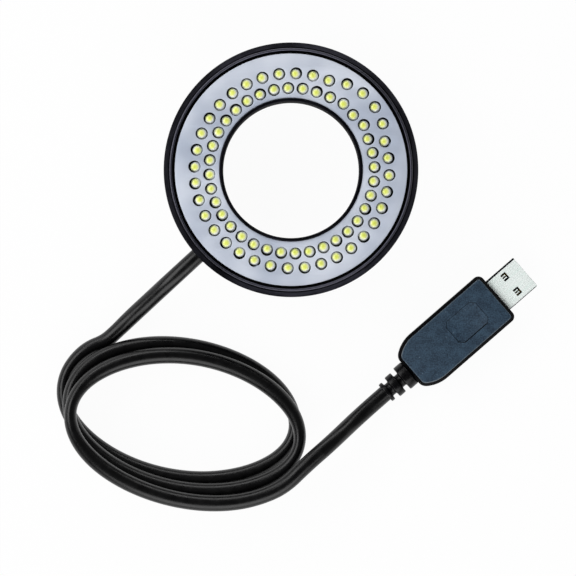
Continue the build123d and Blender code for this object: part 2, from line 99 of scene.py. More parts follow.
def around(radius, angle):
    """The level point at this radius and angle from the ring's axis."""
    return Vector((radius * math.cos(math.radians(angle)), radius * math.sin(math.radians(angle)), 0))


def coil_place(angle):
    """A point of the drifting oval, at the height of its quarter turn and slipped aside as listed."""
    quarter = min(max((angle - coil_first_angle) / 90, 0), len(coil_height_shares) - 1)
    low = min(int(quarter), len(coil_height_shares) - 2)
    rise = coil_height_shares[low + 1] - coil_height_shares[low]
    height = cord_radius + (cord_dia + stack_gap) * (coil_height_shares[low] + (quarter - low) * rise)
    turn = math.radians(angle)
    flat = Vector((coil_long * math.cos(turn), coil_short * math.sin(turn)))
    flat.rotate(Matrix.Rotation(coil_tilt, 2))
    flat += coil_centre + coil_drift * (angle - coil_middle_angle) / 360
    ease = (1 - math.cos(math.pi * (quarter - low))) / 2
    flat += Vector(coil_slips[low]).lerp(Vector(coil_slips[low + 1]), ease) * mm
    return Vector((flat.x, flat.y, height))


cable_way, plug_way = around(1, cable_angle), around(1, plug_angle)
route = [cable_way * reach * mm + Vector((0, 0, height * mm)) for reach, height in lead_places]
route += [Vector(place) * mm for place in lead_bend]
for step in range(coil_steps + 1):
    route.append(coil_place(coil_join_angle + (coil_last_angle - coil_join_angle) * step / coil_steps))
tail_end = plug_place - plug_way * relief_length
tail_start = tail_end - plug_way * (2 * tail_run + tail_drop_run)
tail_start += Vector((plug_way.y, -plug_way.x, 0)) * tail_aside
tail_start.z = tail_height
tail_step = plug_way * tail_run + Vector((0, 0, -tail_slope * tail_run))
route += [Vector(tail_bend) * mm, tail_start, tail_start + tail_step, tail_end - plug_way * tail_run,
          tail_end]
line_curve = bpy.data.curves.new("cord line", "CURVE")
line_curve.dimensions = "3D"
line_curve.resolution_u = 8
spline = line_curve.splines.new("NURBS")
spline.points.add(len(route) - 1)
for point, place in zip(spline.points, route):
    point.co = (*place, 1.0)
spline.order_u = 3
spline.use_endpoint_u = True
line = add_object("cord line", line_curve)


def mesh_of(piece):
    """A new mesh of what an object's curve or modifiers make."""
    bpy.context.view_layer.update()
    return bpy.data.meshes.new_from_object(piece.evaluated_get(bpy.context.evaluated_depsgraph_get()))


cord_path = [vertex.co.copy() for vertex in mesh_of(line).vertices]
bpy.data.objects.remove(line)


def squeeze(index):
    """How far the jacket is squeezed here, by how sharply the line bends over about 9 mm each way."""
    before, after = max(index - squeeze_reach, 0), min(index + squeeze_reach, len(cord_path) - 1)
    too_near_an_end = min(index - before, after - index) < 2
    if too_near_an_end:
        return 0.0
    into, out = cord_path[index] - cord_path[before], cord_path[after] - cord_path[index]
    bend = into.angle(out) / ((into.length + out.length) / 2)
    return squeeze_most * min(1.0, (bend / squeeze_bend) ** 2)


def smooth(mesh, angle=30.0):
    """Shade a mesh smooth, but for the edges sharper than this angle."""
    mesh.polygons.foreach_set("use_smooth", [True] * len(mesh.polygons))
    mesh.set_sharp_from_angle(angle=math.radians(angle))


def to_mesh(name, made):
    """Turn a bmesh into a mesh with its faces outwards."""
    mesh = bpy.data.meshes.new(name)
    bmesh.ops.recalc_face_normals(made, faces=made.faces)
    made.to_mesh(mesh)
    made.free()
    return mesh


def from_bmesh(name, made, material, smooth_angle=30.0):
    """Turn a bmesh into a piece, smooth but for its sharp edges."""
    mesh = to_mesh(name, made)
    smooth(mesh, smooth_angle)
    mesh.materials.append(material)
    return add_object(name, mesh)


def stack(rings, made=None, place=None, closed=False):
    """Join rings of points into a tube: closed on itself like a torus, or with a face at each end."""
    made = made or bmesh.new()
    place = place or Matrix()
    rings = [[made.verts.new(place @ Vector(spot)) for spot in ring] for ring in rings]
    pairs = list(zip(rings, rings[1:]))
    if closed:
        pairs.append((rings[-1], rings[0]))
    else:
        made.faces.new(rings[0])
        made.faces.new(rings[-1])
    for one, two in pairs:
        for side in range(len(one)):
            after = (side + 1) % len(one)
            made.faces.new((one[side], one[after], two[after], two[side]))
    return made


cord_sides = 28
squeezes = [squeeze(index) for index in range(len(cord_path))]
cord_rings = []
for index, spot in enumerate(cord_path):
    near = squeezes[max(index - squeeze_reach, 0):index + squeeze_reach + 1]
    half_width = cord_radius * (1 - sum(near) / len(near))
    way = cord_path[min(index + 1, len(cord_path) - 1)] - cord_path[max(index - 1, 0)]
    across = way.cross(Vector((0, 0, 1))).normalized()
    upwards = across.cross(way).normalized()
    turns = [2 * math.pi * side / cord_sides for side in range(cord_sides)]
    cord_rings.append([spot + across * half_width * math.cos(turn) + upwards * cord_radius * math.sin(turn)
                       for turn in turns])


def srgb(code):
    """An sRGB hex code as linear colour."""
    channels = [int(code[i:i + 2], 16) / 255 for i in (1, 3, 5)]
    return [c / 12.92 if c <= 0.04045 else ((c + 0.055) / 1.055) ** 2.4 for c in channels] + [1.0]


def add_node(tree, kind, sockets=None, **settings):
    """Add a node with its settings, and set or link its input sockets by name or number."""
    made = tree.nodes.new(kind)
    for name, value in settings.items():
        setattr(made, name, value)
    for name, value in (sockets or {}).items():
        if isinstance(value, bpy.types.NodeSocket):
            tree.links.new(value, made.inputs[name])
        else:
            made.inputs[name].default_value = value
    return made


def new_material(name, **sockets):
    """A material, its node tree and its shader, with these values on the shader's own sockets."""
    material = bpy.data.materials.new(name)
    material.use_nodes = True
    shader = material.node_tree.nodes["Principled BSDF"]
    for socket, value in sockets.items():
        shader.inputs[socket.replace("_", " ")].default_value = value
    return material, material.node_tree, shader


# Most of a noise pattern lies between these values.
colour_span, rough_span = (0.35, 0.65), (0.3, 0.7)


def weather(tree, shader, pattern, depth, colours, roughness):
    """Let a pattern from 0 to 1 raise the surface and vary its colour and roughness."""
    bump = add_node(tree, "ShaderNodeBump", {"Height": pattern, "Strength": 1.0, "Distance": depth})
    tree.links.new(bump.outputs[0], shader.inputs["Normal"])
    ramp = add_node(tree, "ShaderNodeValToRGB", {0: pattern})
    for element, place, colour in zip(ramp.color_ramp.elements, colour_span, colours):
        element.position = place
        element.color = srgb(colour)
    tree.links.new(ramp.outputs[0], shader.inputs["Base Color"])
    rough = add_node(tree, "ShaderNodeMapRange", {0: pattern, 1: rough_span[0], 2: rough_span[1],
                                                  3: roughness[0], 4: roughness[1]})
    tree.links.new(rough.outputs[0], shader.inputs["Roughness"])


def on_piece(tree):
    """The place on the piece, in metres."""
    return add_node(tree, "ShaderNodeTexCoord").outputs["Object"]


def grain(tree, size, detail=3.0, place=None, roughness=0.6):
    """A cloudy pattern whose largest spots are this size, in metres."""
    return add_node(tree, "ShaderNodeTexNoise", {"Vector": place or on_piece(tree), "Scale": 1 / size,
                                                 "Detail": detail, "Roughness": roughness}).outputs[0]


def grained(name, size, depth, colours, roughness, detail=3.0, **sockets):
    """A material with values on its shader's sockets, and a cloudy grain of this size in metres."""
    material, tree, shader = new_material(name, **sockets)
    weather(tree, shader, grain(tree, size, detail), depth, colours, roughness)
    return material


# Soft PVC, extruded: nearly black, with a satin sheen that its waxy skin breaks up a little.
pvc = grained("PVC, extruded, black", 3.0 * mm, 0.004 * mm, ("#030304", "#060607"), (0.26, 0.34), 1.0,
              IOR=1.53, Specular_IOR_Level=0.32)
cord = from_bmesh("cord", stack(cord_rings), pvc)


def dress(piece, body, slot, *replaced):
    """Put a finished piece on its body, in place of the nodes that it stands for. The slot is not used."""
    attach(piece, body)
    if replaced:
        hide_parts(*replaced)


dress(cord, "head", "cord_jacket", "cord_lead", "cord_coil", "cord_tail")


# Studio: a white floor, two long softboxes low above and below the picture, and a smaller one at its
# left. The floor is mostly shown as plain white, in reflections too, and keeps a light shadow.
floor_side = 6.0
floor_drop = 0.02 * mm
floor_shown_white = 0.96
floor_mesh = bpy.data.meshes.new("floor")
floor_mesh.from_pydata([(x * floor_side / 2, y * floor_side / 2, -floor_drop) for x, y in
                        ((-1, -1), (1, -1), (1, 1), (-1, 1))], [], [(0, 1, 2, 3)])
add_object("floor", floor_mesh)


def math_node(tree, operation, *values):
    """A calculation's result, from values or sockets."""
    return add_node(tree, "ShaderNodeMath", dict(enumerate(values)), operation=operation).outputs[0]


def vector_node(tree, operation, *values):
    """A vector calculation's result, which for a length is a plain number."""
    made = add_node(tree, "ShaderNodeVectorMath", dict(enumerate(values)), operation=operation)
    return made.outputs["Value" if operation == "LENGTH" else "Vector"]


# Matt studio paint: a plain white that the lamps light evenly.
floor_paint = bpy.data.materials.new("emulsion paint, matt, white")
floor_paint.use_nodes = True
tree = floor_paint.node_tree
tree.nodes.clear()
ray = add_node(tree, "ShaderNodeLightPath").outputs
seen = math_node(tree, "MAXIMUM", ray["Is Glossy Ray"], ray["Is Transmission Ray"])
seen = math_node(tree, "MAXIMUM", ray["Is Camera Ray"], seen)
share = math_node(tree, "MULTIPLY", seen, floor_shown_white)
paint = add_node(tree, "ShaderNodeBsdfDiffuse", {"Color": srgb("#F2F2F2")})
glow = add_node(tree, "ShaderNodeEmission", {"Color": (1, 1, 1, 1), "Strength": 1.0})
mixed = add_node(tree, "ShaderNodeMixShader", {0: share, 1: paint.outputs[0], 2: glow.outputs[0]})
add_node(tree, "ShaderNodeOutputMaterial", {"Surface": mixed.outputs[0]})
floor_mesh.materials.append(floor_paint)

# The room is shown as plain white, in reflections only near the floor, and is dim overhead.
room_low, room_overhead = 0.16, 0.08
dims_from, dims_to, white_up_to = 0.35, 0.95, 0.16
world = bpy.data.worlds.new("studio room")
scene.world = world
world.use_nodes = True
tree = world.node_tree
tree.nodes.clear()
way = add_node(tree, "ShaderNodeTexCoord")
split = add_node(tree, "ShaderNodeSeparateXYZ", {0: way.outputs["Generated"]})
level = add_node(tree, "ShaderNodeMapRange", {0: split.outputs["Z"], 1: dims_from, 2: dims_to,
                                              3: room_low, 4: room_overhead})
ray = add_node(tree, "ShaderNodeLightPath").outputs
room = add_node(tree, "ShaderNodeBackground", {"Color": (1, 1, 1, 1), "Strength": level.outputs[0]})
white = add_node(tree, "ShaderNodeBackground", {"Color": (1, 1, 1, 1), "Strength": 1.0})
level = add_node(tree, "ShaderNodeMapRange", {0: split.outputs["Z"], 1: 0.0, 2: white_up_to, 3: 1.0, 4: 0.0})
seen = math_node(tree, "MAXIMUM", ray["Is Glossy Ray"], ray["Is Transmission Ray"])
seen = math_node(tree, "MULTIPLY", seen, level.outputs[0])
seen = math_node(tree, "MAXIMUM", ray["Is Camera Ray"], seen)
mixed = add_node(tree, "ShaderNodeMixShader", {0: seen, 1: room.outputs[0], 2: white.outputs[0]})
add_node(tree, "ShaderNodeOutputWorld", {"Surface": mixed.outputs[0]})
scene.view_settings.view_transform = "Standard"


def softbox(name, place, length, width, power):
    """A soft light at this place, turned to face the middle of the object."""
    data = bpy.data.lights.new(name, "AREA")
    data.shape = "RECTANGLE"
    data.size = length
    data.size_y = width
    data.energy = power
    light = add_object(name, data)
    light.location = place
    light.rotation_euler = (Vector(place) - lit_middle).to_track_quat("Z", "Y").to_euler()
    light.visible_camera = False


lit_middle = Vector((0, -0.038, 0))
softbox("far softbox", (-0.15, 1.14, 0.53), 1.6, 0.45, 7.3)
softbox("near softbox", (0.12, -1.16, 0.66), 1.6, 1.0, 14.4)
softbox("left softbox", (-0.59, 0.11, 0.53), 0.75, 0.5, 4.1)


def curve_point(start, corner, end, t):
    """A point on the curve that leaves its start and reaches its end by way of a corner."""
    return tuple(start * (1 - t) ** 2 + corner * 2 * t * (1 - t) + end * t ** 2)


def rounded(outline, radius, steps=4):
    """The closed outline with each corner rounded, but for points on a nearly straight side."""
    nearly_straight, most_of_side = math.radians(88), 0.45
    made = []
    for index, corner in enumerate(outline):
        corner = Vector(corner)
        into = Vector(outline[index - 1]) - corner
        out = Vector(outline[(index + 1) % len(outline)]) - corner
        half = into.angle(out) / 2
        if half > nearly_straight:
            made.append(tuple(corner))
            continue
        cut = min(radius / math.tan(half), into.length * most_of_side, out.length * most_of_side)
        start, end = corner + into.normalized() * cut, corner + out.normalized() * cut
        made += [curve_point(start, corner, end, step / steps) for step in range(steps + 1)]
    return made


def ring_of(radii, height):
    """Points round the Z axis at this height, one at each of these radii."""
    turns = [2 * math.pi * side / len(radii) for side in range(len(radii))]
    return [(radius * math.cos(turn), radius * math.sin(turn), height) for radius, turn in zip(radii, turns)]


def circle(radius, height, sides):
    """Points round a circle about the Z axis."""
    return ring_of([radius] * sides, height)


def lathe(outline, sides=192, made=None, place=None):
    """Turn a closed outline of (radius, height) round the Z axis."""
    return stack([circle(radius, height, sides) for radius, height in outline], made, place, closed=True)


def bar(outline, sides, made=None, place=None):
    """Turn an outline of (radius, height) round the Z axis, with a flat face at each end."""
    return stack([circle(radius, height, sides) for radius, height in outline], made, place)


def along(angle, base):
    """A frame whose Z runs level at this angle from a point, with its Y upwards."""
    z_axis, y_axis = around(1, angle), Vector((0, 0, 1))
    turned = Matrix((y_axis.cross(z_axis), y_axis, z_axis)).transposed().to_4x4()
    turned.translation = base
    return turned


# Strain relief: a soft neck moulded onto the cord and the plug in one shot. Two slots round it let it
# bend, and leave a collar, a rib and a tip.
relief_runs = ((4.4, 3.3), (2.3, 1.55), (3.95, 2.6), (2.3, 1.55), (3.5, 1.4))
relief_round, relief_bore = 0.45 * mm, 0.6 * mm
relief_outline = [(relief_bore, 0)]
run_end = 0
for run_radius, run_length in relief_runs:
    relief_outline += [(run_radius * mm, run_end * mm), (run_radius * mm, (run_end + run_length) * mm)]
    run_end += run_length
relief_outline.append((relief_bore, run_end * mm))
# Soft PVC, moulded: blacker than the cord, with small glints on its edges.
relief_pvc = grained("PVC, moulded, black", 0.6 * mm, 0.006 * mm, ("#030304", "#070709"), (0.24, 0.34),
                     IOR=1.53, Specular_IOR_Level=0.2)
relief = from_bmesh("strain_relief_moulded", lathe(rounded(relief_outline, relief_round), 64, None,
                                                   along(plug_angle + 180, plug_place)), relief_pvc, 50)
dress(relief, "head", "relief_rubber", "strain_relief")


# Plug body: the ABS grip, moulded in two halves and welded round the middle. It has a bevel all
# round, and a shallow eight-sided recess on top that is left bare.
plug_length = 37.9 * mm
plug_half = 9.3 * mm
plug_rear_half = 5.95 * mm
plug_taper = 8.2 * mm
plug_thickness = 9.0 * mm
plug_corner = 2.0 * mm
straight_runs = (18.0 * mm, 28.0 * mm)
label_middle = 24.6 * mm
label_length, label_width, label_corner = 12.6 * mm, 9.2 * mm, 1.5 * mm
label_slope = 0.6
taper_rise = plug_half - plug_rear_half
taper_radius = (plug_taper ** 2 + taper_rise ** 2) / (2 * taper_rise)
taper_turn = math.asin(plug_taper / taper_radius)
taper_steps, corner_steps = 12, 8
side_line = []
for step in range(taper_steps + 1):
    turn = taper_turn * (1 - step / taper_steps)
    side_line.append((plug_taper - taper_radius * math.sin(turn),
                      plug_half - taper_radius * (1 - math.cos(turn))))
# The rear corner is rounded as far as the third point of the taper.
rear_round = 1.3 * mm
start, corner, end = Vector((0, plug_rear_half - rear_round)), Vector(side_line[0]), Vector(side_line[2])
side_line[:2] = [curve_point(start, corner, end, t) for t in (0, 0.25, 0.5, 0.75)]
side_line += [(run, plug_half) for run in straight_runs]
for step in range(corner_steps + 1):
    turn = math.pi / 2 * (1 - step / corner_steps)
    side_line.append((plug_length - plug_corner * (1 - math.cos(turn)),
                      plug_half - plug_corner * (1 - math.sin(turn))))
plug_outline = side_line + [(x, -y) for x, y in reversed(side_line)]


def inset(outline, depth):
    """The closed outline moved inwards by a depth, as a moulded edge is."""
    moved = []
    for index, corner in enumerate(outline):
        corner = Vector(corner)
        into = (corner - Vector(outline[index - 1])).normalized()
        out = (Vector(outline[(index + 1) % len(outline)]) - corner).normalized()
        way = Vector((into.y + out.y, -into.x - out.x)).normalized()
        moved.append(corner + way * depth / max(way.dot(Vector((into.y, -into.x))), 0.5))
    return moved


plug_frame = Matrix.Translation(plug_place) @ Matrix.Rotation(math.radians(plug_angle), 4, "Z")
bevel_levels = [(1.34, 0.0), (1.24, 0.02), (1.14, 0.07), (1.04, 0.15), (0.12, 0.98), (0.03, 1.1),
                (0.0, 1.25)]
seam_levels = [(0.0, 4.36), (0.14, 4.44), (0.14, 4.56), (0.0, 4.64)]
top_levels = [(depth, plug_thickness / mm - height) for depth, height in reversed(bevel_levels)]
plug_rings = []
for depth, height in bevel_levels + seam_levels + top_levels:
    level = height * mm - plug_thickness / 2
    plug_rings.append([(*spot, level) for spot in inset(plug_outline, depth * mm)])
# ABS, moulded: blue-grey with a fine spark-etched texture about 0.25 mm across, drawn at 0.45 mm so
# that it shows, and a few pale specks of dust.
abs_top, tree, shader = new_material("ABS, moulded and textured, blue-grey", IOR=1.54,
                                     Specular_IOR_Level=0.35)
etch_size = 0.45 * mm
dust_spacing, speck_core, speck_rim, speck_share = 2.6 * mm, 0.03, 0.1, 0.6
blotch_size, blotch_share = 3.0 * mm, 0.5
blotches = math_node(tree, "MULTIPLY_ADD", grain(tree, blotch_size, 2.0), blotch_share, -blotch_share / 2)
etch = math_node(tree, "ADD", grain(tree, etch_size, 4.0), blotches)
weather(tree, shader, etch, 0.06 * mm, ("#182A3B", "#334B5F"), (0.5, 0.65))
cells = add_node(tree, "ShaderNodeTexVoronoi", {"Vector": on_piece(tree), "Scale": 1 / dust_spacing})
speck = add_node(tree, "ShaderNodeMapRange", {0: cells.outputs["Distance"], 1: speck_core, 2: speck_rim,
                                              3: speck_share, 4: 0.0}).outputs[0]
base = shader.inputs["Base Color"].links[0].from_socket
dusty = add_node(tree, "ShaderNodeMix", {0: speck, 6: base, 7: srgb("#6A7D8E")}, data_type="RGBA")
tree.links.new(dusty.outputs[2], shader.inputs["Base Color"])
# The bevel, the sides and the recess's walls are the same ABS, painted black as painted shade, and
# the rounded edge above the bevel is painted a lighter blue-black, as a painted highlight line.
abs_painted_shade = grained("ABS, black, painted shade", 1.5 * mm, 0.006 * mm, ("#010102", "#030304"),
                   (0.35, 0.45), IOR=1.54, Specular_IOR_Level=0.06)
abs_painted_highlight = grained("ABS, blue-black, painted highlight", 0.5 * mm, 0.004 * mm, ("#33424F", "#4C5C69"),
                     (0.26, 0.4), IOR=1.54)
grip = from_bmesh("plug_body_moulded", stack(plug_rings, None, plug_frame), abs_painted_shade, 40)


def reshape(piece, tool_made, operation="DIFFERENCE"):
    """Cut a tool's shape out of a piece, or join it on."""
    tool = add_object("tool", to_mesh("tool", tool_made))
    cut = piece.modifiers.new("cut", "BOOLEAN")
    cut.object = tool
    cut.operation = operation
    cut.solver = "EXACT"
    done = mesh_of(piece)
    piece.modifiers.clear()
    piece.data = done
    smooth(done)
    bpy.data.objects.remove(tool)


def block(low, high, place, made=None):
    """A box between two corners."""
    sides = ((low[1], low[2]), (high[1], low[2]), (high[1], high[2]), (low[1], high[2]))
    return stack([[(x, *side) for side in sides] for x in (low[0], high[0])], made, place)


half_length, half_width = label_length / 2, label_width / 2
short_length, short_width = half_length - label_corner, half_width - label_corner
label_outline = [(label_middle + x, y) for x, y in (
    (short_length, half_width), (half_length, short_width), (half_length, -short_width),
    (short_length, -half_width), (-short_length, -half_width), (-half_length, -short_width),
    (-half_length, short_width), (-short_length, half_width))]
label_levels = ((0.0, 0.3), (0.0, 0.0), (0.12, -0.24), (0.3, -0.3))
label_rings = []
for depth, height in label_levels:
    label_rings.append([(*spot, plug_thickness / 2 + height * mm * (1 - label_slope * spot.y / half_width))
                        for spot in inset(label_outline, depth * mm)])
reshape(grip, stack(label_rings, None, plug_frame))
shell_start, shell_end = 32.9 * mm, 49.65 * mm
socket_end, socket_half, socket_rise = 40 * mm, 6.05 * mm, 2.3 * mm
reshape(grip, block((shell_start, -socket_half, -socket_rise), (socket_end, socket_half, socket_rise),
                    plug_frame))
grip.data.materials.clear()
for finish in (abs_painted_shade, abs_top, abs_painted_highlight):
    grip.data.materials.append(finish)
# The recess's floor and the two wide faces are textured, and the rounded start of the bevel is a painted
# highlight.
bevel_start, recess_level, face_level, highlight_level = 4.0 * mm, 0.9, 0.995, 0.72
for polygon in grip.data.polygons:
    spot = plug_frame.inverted() @ polygon.center
    outward = abs(polygon.normal.z)
    if abs(spot.x - label_middle) < half_length and abs(spot.y) < half_width:
        polygon.material_index = 1 if outward > recess_level else 0
    elif abs(spot.z) > bevel_start:
        polygon.material_index = 1 if outward > face_level else 2 if outward > highlight_level else 0
dress(grip, "head", "plug_plastic", "plug_body")


# USB shell: one strip of nickel-plated steel, folded into a sleeve with its seam underneath. Two
# windows in each wide face hold springs, cut from the same sheet.
shell_half, shell_rise = 6.0 * mm, 2.25 * mm
shell_fold, least_fold, fold_steps = 0.6 * mm, 0.12 * mm, 5
window_middle, window_aside = 43.6 * mm, 3.1 * mm
window_length, window_width = 2.0 * mm, 2.5 * mm
window_start, window_end = window_middle - window_length / 2, window_middle + window_length / 2
prong_half, prong_aside = 0.18 * mm, 0.41 * mm
prong_line = ((-0.02, 0.0), (0.55, 0.05), (1.0, 0.42), (1.4, 0.22))
prong_top, prong_under = 0.01 * mm, 0.29 * mm
seam_half, seam_over = 0.06 * mm, 2.12 * mm
cut_past = 3 * mm


def sleeve_ring(x, inward):
    """The sleeve's section at this place along the plug, this far inside its outer face."""
    wide, tall = shell_half - inward, shell_rise - inward
    fold = max(shell_fold - inward, least_fold)
    ring = []
    for corner, (side, up) in enumerate(((1, 1), (-1, 1), (-1, -1), (1, -1))):
        for step in range(fold_steps + 1):
            turn = math.pi / 2 * (corner + step / fold_steps)
            ring.append((x, side * (wide - fold) + fold * math.cos(turn),
                         up * (tall - fold) + fold * math.sin(turn)))
    return ring


sleeve_levels = [(shell_start, 0.3), (shell_start, 0.0), (shell_end - 0.5 * mm, 0.0),
                 (shell_end - 0.12 * mm, 0.06), (shell_end, 0.16), (shell_end, 0.32),
                 (shell_end - 0.3 * mm, 0.3)]
sleeve = stack([sleeve_ring(x, inward * mm) for x, inward in sleeve_levels], None, plug_frame, closed=True)
# Steel, nickel-plated: a fine satin that reads nearly white, with a faint green cast. Its drawing grain
# is so fine that it is drawn at 0.3 mm to show.
nickel, tree, shader = new_material("steel, nickel-plated, satin", Metallic=0.08)
draw_width, draw_length = 0.3 * mm, 6.0 * mm
turned = add_node(tree, "ShaderNodeMapping", {"Vector": on_piece(tree),
                                              "Rotation": (0, 0, -math.radians(plug_angle))})
stretched = vector_node(tree, "MULTIPLY", turned.outputs[0], (draw_width / draw_length, 1, 1))
drawn = grain(tree, draw_width, 2.0, stretched, 0.5)
weather(tree, shader, drawn, 0.0006 * mm, ("#F2FFFA", "#FAFFFD"), (0.5, 0.6))
shell = from_bmesh("usb_shell_folded", sleeve, nickel)
for side in (-1, 1):
    middle = side * window_aside
    reshape(shell, block((window_start, middle - window_width / 2, -cut_past),
                         (window_end, middle + window_width / 2, cut_past), plug_frame))
reshape(shell, block((shell_start - cut_past, -seam_half, -cut_past),
                     (shell_end + cut_past, seam_half, -seam_over), plug_frame))
# Steel, folded: the two folds are painted dark, as painted shade, so they read as dark lines.
fold_painted_shade = grained("steel, painted shade on the fold", draw_width, 0.004 * mm, ("#08090B", "#15171A"),
                     (0.55, 0.65), Specular_IOR_Level=0.1)
shell.data.materials.append(fold_painted_shade)
# The fold on one side takes a wider band of painted shade than the other.
shaded_folds = ((0.1, 0.995), (-0.995, -0.7))
for polygon in shell.data.polygons:
    aside = plug_way.cross(polygon.normal).z
    polygon.material_index = int(any(low < aside < high for low, high in shaded_folds))
springs = bmesh.new()
for side in (-1, 1):
    for up in (-1, 1):
        for prong in (-1, 1):
            low = side * window_aside + prong * prong_aside - prong_half
            high = low + 2 * prong_half
            rings = []
            for run, drop in prong_line:
                x = window_start + run * mm
                top = up * (shell_rise - prong_top - drop * mm)
                under = up * (shell_rise - prong_under - drop * mm)
                rings.append([(x, low, under), (x, high, under), (x, high, top), (x, low, top)])
            stack(rings, springs, plug_frame)
tabs = from_bmesh("usb_shell_springs", springs, nickel, 40)
tabs.parent = shell
dress(shell, "head", "shell_steel", "usb_shell")


def finish_node(name, material):
    """Give a carried-over CAD node its material."""
    nodes[name].data.materials.clear()
    nodes[name].data.materials.append(material)


# USB insulator and contacts: a moulded tongue that closes the shell's back, and four gilt strips that
# are pressed into it. Both are seen only from the mouth and through the windows.
# PBT, moulded: black, with a slight shine.
finish_node("usb_tongue", grained("PBT, moulded, black", 0.4 * mm, 0.01 * mm, ("#0D0E12", "#15171C"),
                                  (0.4, 0.5), IOR=1.57))
# Gold over nickel, electroplated: a warm metal with fine scratches from use, painted darker as painted
# shade.
finish_node("usb_contacts", grained("copper alloy, gold-plated, darkened as painted shade", 0.3 * mm, 0.004 * mm,
                                    ("#7A5F2C", "#97783C"), (0.3, 0.45), Metallic=1.0))


# Housing: a channel turned from aluminium bar and anodised black, with holes drilled from behind for
# its screws and one through its side for the cord. The tool leaves fine rings that catch the light.
bore_radius = 22.0 * mm
rim_inner, wall_inner = 39.3 * mm, 37.6 * mm
collar_height, floor_top, board_seat = 9.0 * mm, 11.0 * mm, 17.3 * mm
bezel_seat, plate_seat = 21.0 * mm, 23.2 * mm
rim_top, bore_top = 24.2 * mm, 24.8 * mm
rim_wall, bore_wall = 1.0 * mm, 2.0 * mm
bevel_height = 1.6 * mm
housing_round = 0.25 * mm
fixing_radius, fixing_angles = 34.2 * mm, (252.5, 12.5, 132.5)
lug_radius, lug_angles = 28.6 * mm, (222.5, 342.5, 102.5)
screw_hole, cord_hole = 1.1 * mm, 3.5 * mm
head_hole, head_top = 2.0 * mm, 10.4 * mm
standoff_half, standoff_sunk = 2.5 * mm, 0.5 * mm
drill_past = 1.0 * mm
housing_outline = [
    (bore_radius, collar_height), (ring_radius, collar_height), (ring_radius, rim_top - bevel_height),
    (rim_inner, rim_top), (rim_inner, bezel_seat), (wall_inner, bezel_seat), (wall_inner, floor_top),
    (bore_radius + bore_wall, floor_top), (bore_radius + bore_wall, plate_seat),
    (bore_radius + rim_wall, plate_seat), (bore_radius + rim_wall, bore_top), (bore_radius, bore_top),
]
# Aluminium, turned and anodised black: charcoal streaks run round it, 0.35 mm apart as the tool fed.
anodised, tree, shader = new_material("aluminium, turned and anodised, black", Metallic=1.0)
tool_feed = 0.35 * mm
streak_length = 14.0 * mm
split = add_node(tree, "ShaderNodeSeparateXYZ", {0: on_piece(tree)})
level = add_node(tree, "ShaderNodeCombineXYZ", {0: split.outputs[0], 1: split.outputs[1]}).outputs[0]
streak_turn = ring_radius * tool_feed / streak_length
swept = vector_node(tree, "MULTIPLY", vector_node(tree, "NORMALIZE", level), [streak_turn] * 3)
depth_in = math_node(tree, "ADD", split.outputs[2], vector_node(tree, "LENGTH", level))
lifted = add_node(tree, "ShaderNodeCombineXYZ", {2: depth_in})
streaks = vector_node(tree, "ADD", swept, lifted.outputs[0])
rings = grain(tree, tool_feed, 3.0, streaks, 0.7)
weather(tree, shader, rings, 0.03 * mm, ("#121217", "#28282F"), (0.32, 0.45))
# Aluminium, anodised: painted dead black, as painted shade, on the bore's walls and in the bezel's groove.
painted_shade_black = grained("aluminium, anodised, painted shade black", 0.4 * mm, 0.01 * mm,
                  ("#040405", "#08080A"), (0.85, 0.95), IOR=1.5, Specular_IOR_Level=0.08)
housing = from_bmesh("housing_turned", lathe(rounded(housing_outline, housing_round)), anodised)


def upright(radius, angle):
    """A frame at this radius and angle from the axis, with its Z upwards."""
    return Matrix.Translation(around(radius, angle))


standoffs = bmesh.new()
drills = bmesh.new()
drill_start = collar_height - drill_past
for angle in fixing_angles:
    spot = upright(fixing_radius, angle)
    bar([(standoff_half, floor_top - standoff_sunk), (standoff_half, board_seat)], 32, standoffs, spot)
    bar([(head_hole, drill_start), (head_hole, head_top), (screw_hole, head_top),
         (screw_hole, board_seat + drill_past)], 32, drills, spot)
for angle in lug_angles:
    spot = upright(lug_radius, angle)
    bar([(screw_hole, drill_start), (screw_hole, floor_top + drill_past)], 24, drills, spot)
reshape(housing, standoffs, "UNION")
reshape(housing, drills)
entry = along(cable_angle, (0, 0, cable_height))
reshape(housing, bar([(cord_hole, wall_inner - drill_past), (cord_hole, ring_radius + drill_past)], 48,
                     None, entry))
on_wall = 0.02 * mm


def blacken(piece, radius, walls_only=True):
    """Give the walls within this radius of the axis, or all that is there, the painted shade black."""
    piece.data.materials.append(painted_shade_black)
    for polygon in piece.data.polygons:
        wall = abs(polygon.normal.z) < 0.5
        if polygon.center.xy.length < radius + on_wall and (wall or not walls_only):
            polygon.material_index = 1


# The bore's walls take the painted shade black.
blacken(housing, bore_radius)
dress(housing, "head", "anodised_body", "housing")


# Mount collar: the clamp ring behind the housing, moulded in glass-filled nylon. Three lugs take the
# screws from inside, and three hexagonal pockets hold brass nuts for the thumb screws.
collar_radius = 27.0 * mm
lug_half, lug_foot = 2.6 * mm, 5.0 * mm
thumb_angles = (282.5, 42.5, 162.5)
thumb_height, stud_hole = 4.5 * mm, 1.6 * mm
insert_start, pocket_corner = 23.0 * mm, 2.25 * mm / math.cos(math.radians(30))
collar_round = 0.5 * mm
collar_outline = [(bore_radius, 0), (collar_radius, 0), (collar_radius, collar_height),
                  (bore_radius, collar_height)]
